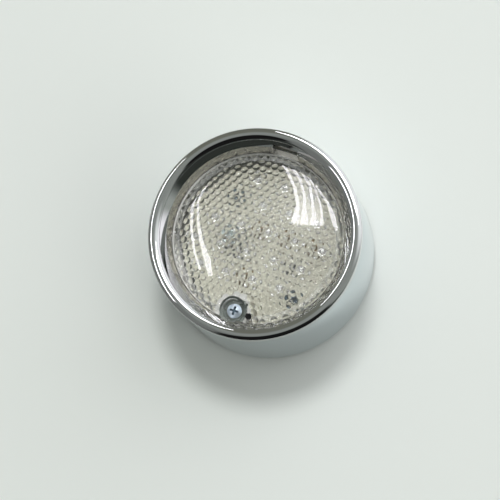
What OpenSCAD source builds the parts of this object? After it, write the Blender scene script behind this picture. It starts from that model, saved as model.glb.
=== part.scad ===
// Round scooter tail light: a chrome cup with a rounded lip, a clear beaded
// lens held by one screw and a tab, and a board of clear LEDs inside.
// It lies on its back: +Z points the way the light shines, +Y is up in use.

/* [Lip and bezel ring] */
// Outer diameter of the rounded lip
rim_d = 100; // [92:1:112]
// Height of the lip's top above the face the lamp is mounted on
rim_top = 59; // [56:1:70]
// Radius of the lip's rounded crown
crown_r = 3.6; // [3.2:0.1:4.2]
// How far the crown turns down towards the outside, in degrees
crown_out = 40; // [32:1:48]
// How far the crown turns down towards the lens, in degrees
crown_in = 55; // [48:1:60]
// Rounding between the crown and the lip's outer side
lip_edge_r = 0.6; // [0.3:0.1:0.9]
// Depth of the lip's flat underside, where it sits on the cup
lip_seat_depth = 4.4; // [4:0.1:4.8]
// How far the lip stands out past the cup
lip_overhang = 0.4; // [0.3:0.1:0.8]
// How much the wall round the lens widens, from the lens up to the foot of the cone
seat_flare = 1.3; // [0.8:0.1:1.6]
// Depth of the foot of the cone below the lip's top
cone_foot_depth = 4.5; // [3.8:0.1:5.2]
// Thickness of the bezel ring's walls
bezel_wall = 2; // [1.6:0.1:2.2]
// Thickness of the ledge that carries the lens
ledge_t = 2; // [1.6:0.1:2.6]
// Depth of the end of the spigot that goes into the cup
spigot_depth = 12.2; // [9:0.1:15]
// Gap between the bezel ring's spigot and the cup
spigot_play = 0.1; // [0.05:0.05:0.2]

/* [Cup] */
// Thickness of the cup's side wall
cup_wall = 1.6; // [1.2:0.1:2]
// Thickness of the cup's floor
cup_floor = 2; // [1.5:0.1:3]
// Rounding of the cup's bottom edge
cup_corner_r = 3; // [2.2:0.1:4]

/* [Mounting pad] */
// Thickness of the rubber pad under the cup
pad_t = 1.5; // [1.4:0.1:3]
// How far the pad's edge lies inside the cup's side
pad_inset = 2; // [1.5:0.1:4]
// Width of the pad's outer ring
pad_ring_w = 10; // [8:0.5:14]
// Width of the pad's bar on each side of a nut's flange
pad_bar_margin = 3.5; // [2.5:0.5:6]
// Gap between the pad and the nuts and grommet in it
pad_play = 0.4; // [0.2:0.1:1]

/* [Lens] */
// Distance from the lip's outside to the wall round the lens
seat_inset = 9.4; // [8.8:0.1:11]
// Thickness of the lens, without the beads
lens_t = 2.4; // [2:0.1:3]
// Depth of the lens's edge below the lip's top
lens_edge_depth = 11.5; // [10.5:0.1:12.5]
// Height of the dome over its own edge
dome_rise = 7.6; // [6:0.1:9]
// Width of the flat flange that sits on the gasket
flange_w = 1; // [0.8:0.1:1.6]
// Gap all round the lens
lens_play = 0.3; // [0.2:0.05:0.5]
// Distance between neighbouring beads
bead_pitch = 3.25; // [3:0.05:4]
// Height of a bead
bead_h = 0.6; // [0.4:0.05:0.8]
// Width of the tab at the top of the lens
tab_w = 11.4; // [8:0.2:14]
// How far the tab stands out past the lens's edge
tab_l = 2.6; // [2:0.1:3]
// Thickness of the tab
tab_t = 1.8; // [1.4:0.1:2.2]
// Thickness of the rubber gasket under the lens
gasket_t = 1.2; // [1:0.1:1.6]

/* [Screw well] */
// Distance of the lens screw from the lens's edge
well_inset = 4.9; // [4.5:0.1:5.6]
// Width of the well that the screw's head lies in
well_bore_d = 9.6; // [9:0.1:10.2]
// Thickness of the well's wall
well_wall = 1.5; // [1.2:0.1:1.8]
// Depth of the well's floor below the lip's top
well_floor_depth = 17.1; // [16.5:0.1:17.7]
// Thickness of the well's floor
well_floor_t = 2; // [1.6:0.1:2.4]
// Thickness of the bezel ring's pocket round the well
pocket_wall = 1.8; // [1.4:0.1:2]
// Thickness of the pocket's floor, which holds the threaded insert
pocket_floor_t = 5.2; // [5:0.1:5.5]

/* [Lens screw] */
// Thread diameter of the lens screw
lens_screw_d = 4; // [3.5:0.1:4.2]
// Length of the lens screw under its head
lens_screw_l = 6; // [5.5:0.1:6.8]
// Diameter of the lens screw's head
lens_head_d = 6.8; // [6:0.1:7.6]
// Height of the lens screw's head
lens_head_h = 2.4; // [2:0.1:2.8]
// Outer diameter of the threaded insert
insert_d = 5.8; // [5.4:0.1:6.4]
// Length of the threaded insert
insert_l = 4.8; // [4:0.1:5]

/* [Vent plug] */
// Diameter of the vent hole in the lens
vent_d = 3; // [2.4:0.1:3.4]
// Sideways distance of the vent from the screw
vent_side = 8.2; // [8:0.1:9]
// How much farther out than the screw the vent lies
vent_out = 1; // [0.6:0.1:1.2]
// Width of the flat rim round the vent hole, under the lens
vent_rim = 0.3; // [0.2:0.05:0.5]
// How far the vent plug lies below the dome
vent_sink = 0.4; // [0.3:0.05:0.8]
// Gap round the vent plug
vent_play = 0.05; // [0.03:0.01:0.1]

/* [Board] */
// Gap between the board's edge and the ledge, seen from the front
board_gap = 2.3; // [0.8:0.1:3]
// Thickness of the circuit board
board_t = 1.6; // [1:0.1:2]
// Depth of the board's front face below the lip's top
board_depth = 25; // [24.6:0.1:27]
// Diameter of the holes for the wires in the board
board_hole_d = 0.9; // [0.8:0.05:1.1]
// Diameter of the wires of the LEDs and other pieces
wire_d = 0.56; // [0.4:0.02:0.6]
// Height of a solder joint
solder_h = 0.9; // [0.6:0.1:1.2]
// Diameter of a solder joint
solder_d = 1.9; // [1.5:0.1:2]
// Length of wire that stands out of a solder joint
wire_tail = 0.4; // [0.2:0.1:0.8]

/* [LEDs] */
// Distance between neighbouring LEDs
led_pitch = 13.2; // [12.8:0.1:14]
// Sideways place of the LED that the pattern is counted from
led_first_x = -10; // [-10.6:0.1:-9.4]
// Height of the row that the pattern is counted from
led_first_y = 4.1; // [3.7:0.1:4.5]
// Diameter of an LED's clear body
led_body_d = 5; // [4.6:0.1:5.2]
// Diameter of the collar at an LED's foot
led_collar_d = 5.8; // [5.4:0.1:6]
// Height of the collar
led_collar_h = 1; // [0.8:0.1:1.4]
// Height of an LED over the board
led_h = 8.6; // [7:0.1:9]
// Distance between an LED's two wires
led_wire_gap = 2.54; // [2.4:0.02:2.7]
// Distance of the outermost LEDs from the board's edge
led_margin = 3.4; // [3.2:0.1:4]
// Least gap between an LED and a screw or the bezel ring's pocket
piece_gap = 0.3; // [0.2:0.05:0.4]

/* [Other pieces on the board] */
// Distance of a resistor or diode from the LED on its left
bit_offset = 8.2; // [8:0.1:8.4]
// Diameter of a resistor
resistor_d = 2.4; // [2:0.1:2.6]
// Length of a resistor
resistor_l = 6.3; // [5.5:0.1:7]
// Diameter of a diode
diode_d = 2.7; // [2.2:0.1:2.7]
// Length of a diode
diode_l = 5.2; // [4.5:0.1:6]
// Height of a resistor's or diode's centre over the board
bit_lift = 1.8; // [1.5:0.1:2.4]
// Distance from a resistor's or diode's end to its bent wire
bit_wire_out = 1.3; // [1:0.1:1.5]
// Diameter of the capacitor
capacitor_d = 6.3; // [5:0.1:6.4]
// Height of the capacitor
capacitor_h = 7; // [5:0.1:9]
// Place of the capacitor on the board
capacitor_at = [-14.1, -1.4];
// Distance between the capacitor's wires
capacitor_wire_gap = 2.5; // [2:0.1:3]
// Width, depth and height of the socket for the wiring, behind the board
socket_size = [10, 5.8, 7];
// Place of the socket behind the board
socket_at = [-18, -13.5];
// Thickness of the socket's shell
socket_wall = 0.8; // [0.6:0.1:1.2]
// Number of contacts in the socket
socket_pins = 3; // [2:1:3]
// Distance between the contacts
socket_pitch = 2.5; // [2:0.1:2.6]
// Width of a contact
pin_d = 0.64; // [0.5:0.02:0.7]

/* [Board posts and screws] */
// Places of the two board screws
board_screw_at = [[-16.9, 16.7], [22.8, -21]];
// Width of a hexagonal post across its flats
post_w = 6; // [5.5:0.1:7]
// Diameter of a post's shank in the cup's floor
post_shank_d = 4.2; // [3.8:0.1:5]
// Depth of the tapped hole in a post
post_bore_l = 10; // [8:0.5:14]
// Thread diameter of a board screw
board_screw_d = 3; // [2.5:0.1:3.2]
// Length of a board screw under its head
board_screw_l = 8; // [6:0.5:9]
// Diameter of a board screw's head
board_head_d = 5.8; // [5:0.1:6]
// Height of a board screw's head
board_head_h = 2.1; // [1.8:0.1:2.4]
// Gap between a thread and its hole, and round pressed pieces
thread_play = 0.05; // [0.03:0.01:0.1]
// Gap between a board screw and the board's hole
board_screw_play = 0.1; // [0.05:0.05:0.2]

/* [Mounting nuts] */
// Distance between the two mounting nuts
nut_spacing = 50; // [44:1:60]
// Bore of a mounting nut, at the thread's inner diameter
nut_bore_d = 5; // [4.2:0.1:6.8]
// Outer diameter of a mounting nut's barrel
nut_barrel_d = 9; // [8:0.1:10]
// Diameter of a mounting nut's flange
nut_flange_d = 13; // [12:0.5:15]
// Thickness of a mounting nut's flange
nut_flange_t = 1; // [0.8:0.1:1.2]
// Diameter of the bulge that grips the cup's floor
nut_bulge_d = 11.6; // [11:0.1:13]
// Height of that bulge
nut_bulge_h = 2.4; // [1.5:0.1:3]
// Length of the nut above the floor
nut_l = 11; // [9:0.5:15]

/* [Cable grommet] */
// Bore of the rubber grommet in the floor
grommet_bore_d = 7; // [5:0.5:8]
// Diameter of the grommet's neck in the floor
grommet_neck_d = 12; // [11:0.5:14]
// Diameter of the grommet's two rims
grommet_rim_d = 16; // [15:0.5:20]
// Thickness of the grommet's outer rim
grommet_outer_t = 1.2; // [0.8:0.1:1.3]
// Thickness of the grommet's inner rim
grommet_inner_t = 2; // [1.5:0.1:3]
// Gap between pieces that are pushed together by hand
push_play = 0.1; // [0.05:0.05:0.2]

/* [Cross recesses] */
// Width of a cross recess, as a share of its screw's head
cross_share = 0.56; // [0.5:0.02:0.66]
// Width of a recess's arms, as a share of its screw's head
cross_arm_share = 0.15; // [0.12:0.01:0.2]

/* [Hidden] */
$fn = 96;
// Extra length on cutting shapes, so that they pass through a face
past = 1;
// How much wider than its wire a solder joint ends
solder_neck = 0.1;
// Shares of a screw head's height: its upright edge, and its recess
head_edge_share = 0.45;
cross_depth_share = 0.62;

// Lip and bezel ring
rim_r = rim_d / 2;
lip_edge_at = rim_r - lip_edge_r;
crown_at = lip_edge_at - (crown_r - lip_edge_r) * sin(crown_out);
crown_end_r = crown_at + crown_r * sin(crown_out);
lip_edge_depth = crown_r - (crown_r - lip_edge_r) * cos(crown_out);
cup_r = rim_r - lip_overhang;
cup_top = rim_top - lip_seat_depth;
crease_r = crown_at - crown_r * sin(crown_in);
crease_depth = crown_r - crown_r * cos(crown_in);
seat_r = rim_r - seat_inset;
lens_r = seat_r - lens_play;
cone_foot_r = seat_r + seat_flare;
flange_depth = lens_edge_depth + lens_t;
ledge_depth = flange_depth + gasket_t;
bezel_depth = ledge_depth + ledge_t;
gasket_r = lens_r - flange_w;
bezel_outer_r = seat_r + bezel_wall;
spigot_r = cup_r - cup_wall - spigot_play;
roof_depth = cone_foot_depth + bezel_wall + seat_flare;

// Lens
dome_r = (lens_r * lens_r + dome_rise * dome_rise) / (2 * dome_rise);
dome_z = rim_top - lens_edge_depth + dome_rise - dome_r;
well_reach = lens_r - well_inset;
well_at = [0, -well_reach];
well_r = well_bore_d / 2 + well_wall;
well_bottom_depth = well_floor_depth + well_floor_t;
pocket_r = well_r + lens_play + pocket_wall;
pocket_bottom_depth = well_bottom_depth + pocket_floor_t;
vent_at = [vent_side, -well_reach - vent_out];
vent_top_depth = rim_top - dome_z - sqrt(dome_r * dome_r - norm(vent_at) * norm(vent_at));

// Board
board_z = rim_top - board_depth;
board_r = gasket_r - board_gap;
led_row_step = led_pitch * sqrt(3) / 2;
floor_z = pad_t + cup_floor;

// Moves its children down from the lip's top
module at_depth(d) { translate([0, 0, rim_top - d]) children(); }

function led_x(i, row) = led_first_x + (i + 0.5 * (abs(row) % 2)) * led_pitch;
function led_y(row) = led_first_y + row * led_row_step;
function clear_of_screws(p) =
    min([for (s = board_screw_at) norm(p - s)]) > (board_head_d + led_collar_d) / 2 + piece_gap;
function clear_of_pocket(p) = norm(p - well_at) > pocket_r + led_collar_d / 2 + piece_gap;
led_places = [for (row = [-3:3], i = [-4:4])
    let (p = [led_x(i, row), led_y(row)])
    if (norm(p) < board_r - led_margin && clear_of_screws(p) && clear_of_pocket(p)) p];
// Each resistor stands beside one LED of the pattern, given as [column, row]
resistor_places = [for (c = [[0, 0], [1, 0], [2, 0], [0, -2]])
    [led_x(c[0], c[1]) + bit_offset, led_y(c[1])]];
diode_places = [for (c = [[-1, -1], [1, -1]]) [led_x(c[0], c[1]) + bit_offset, led_y(c[1])]];
socket_pin_places = [for (i = [0:socket_pins - 1])
    socket_at + [(i - (socket_pins - 1) / 2) * socket_pitch, 0]];
led_wire_places = [for (p = led_places, side = [-1, 1]) p + [side * led_wire_gap / 2, 0]];
function bit_wire_places(places, length) =
    [for (p = places, side = [-1, 1]) p + [0, side * (length / 2 + bit_wire_out)]];
capacitor_wire_places = [for (side = [-1, 1])
    capacitor_at + [side * capacitor_wire_gap / 2, 0]];

// Beads: hexagonal cells on a lattice of whole numbers, half a pitch wide and
// a sixth of the row height tall, so that neighbours share their corners
bead_ring = [[1, -1], [1, 1], [0, 2], [-1, 1], [-1, -1], [0, -2]];
bead_next = [[2, 0], [1, 3], [-1, 3], [-2, 0], [-1, -3], [1, -3]];
bead_step_x = bead_pitch / 2;
bead_step_y = bead_pitch / (2 * sqrt(3));
bead_na = ceil(gasket_r / bead_step_x) + 2;
bead_nb = ceil(gasket_r / bead_step_y) + 3;
bead_span = 2 * bead_nb + 1;
bead_corner = bead_pitch / sqrt(3);
function bead_xy(a, b) = [a * bead_step_x, b * bead_step_y];
function bead_fits(a, b) = let (p = bead_xy(a, b))
    norm(p) < gasket_r - bead_corner
    && norm(p - well_at) > pocket_r + bead_corner
    && norm(p - vent_at) > vent_d / 2 + bead_corner + vent_rim;
function bead_centre(a, b) = b % 3 == 0 && (a + b / 3) % 2 == 0;
function lens_inside(p) = dome_z + sqrt(pow(dome_r - lens_t, 2) - p[0] * p[0] - p[1] * p[1]);
function bead_point(a, b) = let (p = bead_xy(a, b), lean = dome_r - lens_t > norm(p))
    [p[0], p[1], (lean ? lens_inside(p) : rim_top - flange_depth) - (bead_centre(a, b) ? bead_h : 0)];
function bead_index(a, b) = (a + bead_na) * bead_span + b + bead_nb;
bead_cells = [for (a = [-bead_na:bead_na], b = [-bead_nb:bead_nb])
    if (bead_centre(a, b) && bead_fits(a, b)) [a, b]];

// The hollow under the dome, with a dimple for every bead
module bead_hollow() {
    count = (2 * bead_na + 1) * bead_span;
    top = [for (a = [-bead_na:bead_na], b = [-bead_nb:bead_nb]) bead_point(a, b)];
    low = [for (p = top) [p[0], p[1], rim_top - flange_depth - past]];
    caps = [for (c = bead_cells, k = [0:5])
        let (u = c + bead_ring[k], v = c + bead_ring[(k + 1) % 6])
        [bead_index(c[0], c[1]), bead_index(v[0], v[1]), bead_index(u[0], u[1])]];
    feet = [for (c = bead_cells)
        [for (k = [0:5]) let (u = c + bead_ring[k]) count + bead_index(u[0], u[1])]];
    sides = [for (c = bead_cells, k = [0:5])
        let (n = c + bead_next[k], u = c + bead_ring[k], v = c + bead_ring[(k + 1) % 6],
             iu = bead_index(u[0], u[1]), iv = bead_index(v[0], v[1]))
        if (!bead_fits(n[0], n[1])) [iu, iv, count + iv, count + iu]];
    polyhedron(concat(top, low), concat(caps, feet, sides), convexity = 10);
}

// A cross recess, cut down from z = 0
module cross_recess(head_d, depth) {
    span = head_d * cross_share;
    arm = head_d * cross_arm_share;
    for (turn = [0, 90]) rotate(turn) translate([-span / 2, -arm / 2, -depth])
        cube([span, arm, depth + past]);
}

// A pan head with its shank, the head's underside at z = 0
module pan_screw(d, l, head_d, head_h) {
    edge_h = head_h * head_edge_share;
    crown_r = (pow(head_d / 2, 2) + pow(head_h - edge_h, 2)) / (2 * (head_h - edge_h));
    difference() {
        union() {
            cylinder(d = head_d, h = edge_h);
            intersection() {
                translate([0, 0, head_h - crown_r]) sphere(r = crown_r);
                translate([0, 0, edge_h]) cylinder(d = head_d, h = head_h);
            }
            translate([0, 0, -l]) cylinder(d = d, h = l);
        }
        translate([0, 0, head_h]) cross_recess(head_d, head_h * cross_depth_share);
    }
}

// A wire through the board with its solder joint behind it
module soldered_wire(lift) {
    back = board_z - board_t;
    translate([0, 0, back - solder_h - wire_tail])
        cylinder(d = wire_d, h = board_t + solder_h + wire_tail + lift, $fn = 16);
    translate([0, 0, back - solder_h])
        cylinder(d1 = wire_d + solder_neck, d2 = solder_d, h = solder_h, $fn = 20);
}

// A resistor's or diode's two wires, bent down into the board
module bit_wires(length) {
    reach = length / 2 + bit_wire_out;
    for (side = [-1, 1]) {
        translate([0, side * reach, 0]) soldered_wire(bit_lift);
        translate([0, side * reach, board_z + bit_lift]) sphere(d = wire_d, $fn = 16);
        translate([0, side * length / 2, board_z + bit_lift]) rotate([-side * 90, 0, 0])
            cylinder(d = wire_d, h = bit_wire_out, $fn = 16);
    }
}

// Chrome cup with a rounded bottom edge
module housing() {
    color("silver") difference() {
        rotate_extrude() {
            translate([0, pad_t + cup_corner_r]) square([cup_r, cup_top - pad_t - cup_corner_r]);
            translate([0, pad_t]) square([cup_r - cup_corner_r, cup_corner_r]);
            translate([cup_r - cup_corner_r, pad_t + cup_corner_r]) circle(r = cup_corner_r);
        }
        translate([0, 0, floor_z]) cylinder(r = cup_r - cup_wall, h = rim_top);
        for (p = board_screw_at) translate([p[0], p[1], 0]) cylinder(d = post_shank_d, h = floor_z + past);
        for (side = [-1, 1]) translate([side * nut_spacing / 2, 0, 0])
            cylinder(r = nut_barrel_d / 2 + push_play, h = floor_z + past);
        cylinder(r = grommet_neck_d / 2 + push_play, h = floor_z + past);
    }
}

// Section of the bezel ring: radius across, height up
module bezel_section() {
    intersection() {
        translate([crown_at, rim_top - crown_r]) circle(r = crown_r);
        translate([crease_r, cup_top]) square([crown_end_r - crease_r, lip_seat_depth + past]);
    }
    translate([lip_edge_at, rim_top - lip_edge_depth]) circle(r = lip_edge_r);
    translate([crown_at, cup_top]) square([rim_r - crown_at, lip_seat_depth - lip_edge_depth]);
    translate([0, rim_top]) polygon([
        [crown_at, -crown_r / 4],
        [crease_r, -crease_depth],
        [cone_foot_r, -cone_foot_depth],
        [seat_r, -lens_edge_depth],
        [seat_r, -ledge_depth],
        [gasket_r, -ledge_depth],
        [gasket_r, -bezel_depth],
        [bezel_outer_r, -bezel_depth],
        [bezel_outer_r, -roof_depth],
        [spigot_r - bezel_wall, -roof_depth],
        [spigot_r - bezel_wall, -spigot_depth],
        [spigot_r, -spigot_depth],
        [spigot_r, -lip_seat_depth],
        [crown_at + crown_r / 2, -lip_seat_depth],
        [crown_at + crown_r / 2, -crown_r]]);
}

// Chrome ring with the lip, the cone, the lens seat and the screw's pocket
module bezel_ring() {
    color("gainsboro") difference() {
        union() {
            rotate_extrude() bezel_section();
            difference() {
                at_depth(pocket_bottom_depth) translate(well_at)
                    cylinder(r = pocket_r, h = pocket_bottom_depth - roof_depth + past / 2);
                at_depth(ledge_depth) cylinder(r = seat_r, h = ledge_depth);
            }
        }
        at_depth(well_bottom_depth) translate(well_at) cylinder(r = well_r + lens_play, h = rim_top);
        at_depth(pocket_bottom_depth + past) translate(well_at)
            cylinder(r = insert_d / 2 + thread_play, h = pocket_floor_t + 2 * past);
        at_depth(flange_depth + lens_play)
            translate([-tab_w / 2 - lens_play, lens_r - past, 0])
                cube([tab_w + 2 * lens_play, tab_l + lens_play + past,
                      flange_depth + lens_play - (crease_depth + cone_foot_depth) / 2]);
    }
}

// Clear lens: a dome with beads inside, a screw well, a tab and a vent hole
module lens() {
    color("whitesmoke", 0.45) difference() {
        intersection() {
            translate([0, 0, dome_z]) sphere(r = dome_r, $fn = 180);
            union() {
                at_depth(flange_depth) cylinder(r = lens_r, h = rim_top);
                at_depth(well_bottom_depth) translate(well_at) cylinder(r = well_r, h = rim_top);
                at_depth(flange_depth) translate([-tab_w / 2, 0, 0]) cube([tab_w, lens_r + tab_l, tab_t]);
            }
        }
        bead_hollow();
        at_depth(well_floor_depth) translate(well_at) cylinder(d = well_bore_d, h = rim_top);
        at_depth(well_bottom_depth + past) translate(well_at)
            cylinder(r = lens_screw_d / 2 + lens_play, h = rim_top);
        at_depth(flange_depth + past) translate(vent_at) cylinder(d = vent_d, h = rim_top);
    }
}

// Silicone gasket under the lens's flange, with an eye round the screw well
module lens_gasket() {
    color("#a8a8a2") at_depth(ledge_depth) linear_extrude(gasket_t) difference() {
        union() {
            difference() {
                circle(r = lens_r);
                circle(r = gasket_r);
            }
            intersection() {
                circle(r = lens_r);
                translate(well_at) circle(r = pocket_r);
            }
        }
        translate(well_at) circle(r = well_r + lens_play);
    }
}

module lens_screw() {
    color("#b9c6d2") at_depth(well_floor_depth) translate(well_at)
        pan_screw(lens_screw_d, lens_screw_l, lens_head_d, lens_head_h);
}

// Brass insert in the pocket's floor, ringed by two grip grooves
module lens_screw_insert() {
    groove = 0.3;
    color("#c9a24a") at_depth(well_bottom_depth) translate(well_at) difference() {
        translate([0, 0, -insert_l]) cylinder(d = insert_d, h = insert_l);
        translate([0, 0, -insert_l - past])
            cylinder(r = lens_screw_d / 2 + thread_play, h = insert_l + 2 * past);
        for (share = [1 / 3, 2 / 3]) translate([0, 0, -insert_l * share - groove]) difference() {
            cylinder(d = insert_d + past, h = 2 * groove);
            cylinder(d = insert_d - 2 * groove, h = 2 * groove);
        }
    }
}

// Black rubber plug in the lens's vent hole
module vent_plug() {
    slit = 0.5;
    top = flange_depth - vent_top_depth - vent_sink;
    color("#141414") at_depth(flange_depth) translate(vent_at) difference() {
        cylinder(r = vent_d / 2 - vent_play, h = top);
        translate([0, 0, top - slit]) cylinder(d = vent_d / 2, h = slit + past);
    }
}

// White board with a hole for each wire and screw
module circuit_board() {
    color("#f1eee2") translate([0, 0, board_z - board_t]) difference() {
        cylinder(r = board_r, h = board_t);
        for (p = board_screw_at) translate([p[0], p[1], -past])
            cylinder(r = board_screw_d / 2 + board_screw_play, h = board_t + 2 * past);
        for (p = concat(led_wire_places, bit_wire_places(resistor_places, resistor_l),
                        bit_wire_places(diode_places, diode_l), capacitor_wire_places, socket_pin_places))
            translate([p[0], p[1], -past]) cylinder(d = board_hole_d, h = board_t + 2 * past, $fn = 16);
    }
}

// One clear LED with a collar, flat on one side
module led() {
    flat = (2 * led_body_d + led_collar_d) / 6;
    difference() {
        union() {
            cylinder(d = led_collar_d, h = led_collar_h, $fn = 48);
            cylinder(d = led_body_d, h = led_h - led_body_d / 2, $fn = 48);
            translate([0, 0, led_h - led_body_d / 2]) sphere(d = led_body_d, $fn = 48);
        }
        translate([flat, -led_collar_d / 2, -past]) cube([led_collar_d, led_collar_d, led_h + 2 * past]);
        translate([-led_collar_d, -led_collar_d, -led_body_d])
            cube([2 * led_collar_d, 2 * led_collar_d, led_body_d]);
    }
}

module leds() {
    color("aliceblue", 0.6) for (p = led_places) translate([p[0], p[1], board_z]) led();
}

module led_wires() {
    color("#c8c8c4") for (p = led_wire_places) translate([p[0], p[1], 0]) soldered_wire(0);
}

// A resistor lying along Y, thicker at its ends
module resistor() {
    cap_l = resistor_l / 5;
    rotate([90, 0, 0]) translate([0, 0, -resistor_l / 2]) {
        cylinder(d = resistor_d * 5 / 6, h = resistor_l, $fn = 32);
        for (z = [0, resistor_l - cap_l]) translate([0, 0, z])
            cylinder(d = resistor_d, h = cap_l, $fn = 32);
    }
}

module resistors() {
    color("#a9713c") for (p = resistor_places) translate([p[0], p[1], board_z + bit_lift]) resistor();
}

module resistor_wires() {
    color("#c8c8c4") for (p = resistor_places) translate([p[0], p[1], 0]) bit_wires(resistor_l);
}

module diodes() {
    color("#2a2a2c") for (p = diode_places) translate([p[0], p[1] + diode_l / 2, board_z + bit_lift])
        rotate([90, 0, 0]) cylinder(d = diode_d, h = diode_l, $fn = 32);
}

module diode_wires() {
    color("#c8c8c4") for (p = diode_places) translate([p[0], p[1], 0]) bit_wires(diode_l);
}

// Capacitor can with a rolled waist above its foot
module capacitor() {
    waist = 0.3;
    color("#34404e") translate([capacitor_at[0], capacitor_at[1], board_z]) difference() {
        cylinder(d = capacitor_d, h = capacitor_h, $fn = 48);
        translate([0, 0, capacitor_h / 6]) rotate_extrude($fn = 48)
            translate([capacitor_d / 2 + waist / 2, 0]) circle(r = waist, $fn = 16);
    }
}

module capacitor_wires() {
    color("#c8c8c4") for (p = capacitor_wire_places) translate([p[0], p[1], 0]) soldered_wire(0);
}

// Open box behind the board that the wiring's plug goes into
module wiring_socket() {
    size = socket_size;
    low = board_z - board_t - size[2];
    corner = [socket_at[0] - size[0] / 2, socket_at[1] - size[1] / 2, low];
    color("ivory") difference() {
        translate(corner) cube(size);
        translate(corner + [socket_wall, socket_wall, -past])
            cube([size[0] - 2 * socket_wall, size[1] - 2 * socket_wall, size[2] - 2 * socket_wall + past]);
        for (p = socket_pin_places) translate([p[0], p[1], low])
            cylinder(d = board_hole_d, h = size[2] + past, $fn = 16);
    }
}

// Contacts of the socket, soldered on the board's front
module socket_contacts() {
    low = board_z - board_t - socket_size[2] + socket_wall;
    color("#c8c8c4") for (p = socket_pin_places) translate([p[0], p[1], 0]) {
        translate([0, 0, low]) cylinder(d = pin_d, h = board_z + solder_h + wire_tail - low, $fn = 16);
        translate([0, 0, board_z]) cylinder(d1 = solder_d, d2 = pin_d + solder_neck, h = solder_h, $fn = 20);
    }
}

module board_screws() {
    color("#9fb0c4") for (p = board_screw_at) translate([p[0], p[1], board_z])
        pan_screw(board_screw_d, board_screw_l, board_head_d, board_head_h);
}

// Hexagonal posts, each with a shank pressed into the cup's floor
module board_posts() {
    post_h = board_z - board_t - floor_z;
    color("#c9a24a") for (p = board_screw_at) translate([p[0], p[1], floor_z]) difference() {
        union() {
            cylinder(d = post_w / cos(30), h = post_h, $fn = 6);
            translate([0, 0, -cup_floor]) cylinder(r = post_shank_d / 2 - thread_play, h = cup_floor);
        }
        translate([0, 0, post_h - post_bore_l])
            cylinder(r = board_screw_d / 2 + thread_play, h = post_bore_l + past);
    }
}

// Rubber grommet with a groove for the edge of the floor's hole
module cable_grommet() {
    color("#1c1c1c") difference() {
        union() {
            translate([0, 0, pad_t - grommet_outer_t]) cylinder(d = grommet_rim_d, h = grommet_outer_t);
            translate([0, 0, pad_t]) cylinder(d = grommet_neck_d, h = cup_floor);
            translate([0, 0, floor_z]) cylinder(d1 = grommet_rim_d, d2 = grommet_neck_d, h = grommet_inner_t);
        }
        translate([0, 0, -past]) cylinder(d = grommet_bore_d, h = floor_z + grommet_inner_t + 2 * past);
    }
}

// Blind nuts that grip the floor between a flange and a bulge
module mounting_nuts() {
    color("#b8bcc0") for (side = [-1, 1]) translate([side * nut_spacing / 2, 0, 0]) difference() {
        union() {
            translate([0, 0, pad_t - nut_flange_t]) cylinder(d = nut_flange_d, h = nut_flange_t);
            translate([0, 0, pad_t]) cylinder(d = nut_barrel_d, h = cup_floor + nut_l);
            translate([0, 0, floor_z]) cylinder(d = nut_bulge_d, h = nut_bulge_h);
        }
        translate([0, 0, -past]) cylinder(d = nut_bore_d, h = pad_t + cup_floor + nut_l + 2 * past);
    }
}

// Rubber pad: a ring with a bar across it for the nuts and the cable
module mounting_pad() {
    bar_w = nut_flange_d + 2 * pad_bar_margin;
    color("#232323") linear_extrude(pad_t) difference() {
        union() {
            difference() {
                circle(r = cup_r - pad_inset);
                circle(r = cup_r - pad_inset - pad_ring_w);
            }
            intersection() {
                circle(r = cup_r - pad_inset);
                square([2 * cup_r, bar_w], center = true);
            }
        }
        for (side = [-1, 1]) translate([side * nut_spacing / 2, 0]) circle(r = nut_flange_d / 2 + pad_play);
        circle(r = grommet_rim_d / 2 + pad_play);
    }
}

housing();
bezel_ring();
lens();
lens_gasket();
lens_screw();
lens_screw_insert();
vent_plug();
circuit_board();
leds();
led_wires();
resistors();
resistor_wires();
diodes();
diode_wires();
capacitor();
capacitor_wires();
wiring_socket();
socket_contacts();
board_screws();
board_posts();
cable_grommet();
mounting_nuts();
mounting_pad();
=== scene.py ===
import math

import bmesh
import bpy
import numpy as np
from mathutils import Matrix, Vector


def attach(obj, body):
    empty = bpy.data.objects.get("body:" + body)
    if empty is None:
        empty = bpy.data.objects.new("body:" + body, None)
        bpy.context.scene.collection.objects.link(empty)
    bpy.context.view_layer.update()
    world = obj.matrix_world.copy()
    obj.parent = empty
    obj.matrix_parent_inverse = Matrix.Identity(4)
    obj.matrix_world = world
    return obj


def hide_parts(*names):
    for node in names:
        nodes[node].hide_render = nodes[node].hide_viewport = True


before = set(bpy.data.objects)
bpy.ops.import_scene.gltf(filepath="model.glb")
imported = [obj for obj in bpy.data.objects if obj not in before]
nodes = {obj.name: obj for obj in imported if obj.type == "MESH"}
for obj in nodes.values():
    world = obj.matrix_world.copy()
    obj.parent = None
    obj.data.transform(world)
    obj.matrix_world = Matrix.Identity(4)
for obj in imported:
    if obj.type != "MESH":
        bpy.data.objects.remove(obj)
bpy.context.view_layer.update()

# Sizes in millimetres, as in the part's source where it has them. A depth is measured down from
# the lip's top.

RIM_R = 50.0
RIM_TOP = 59.0

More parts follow.
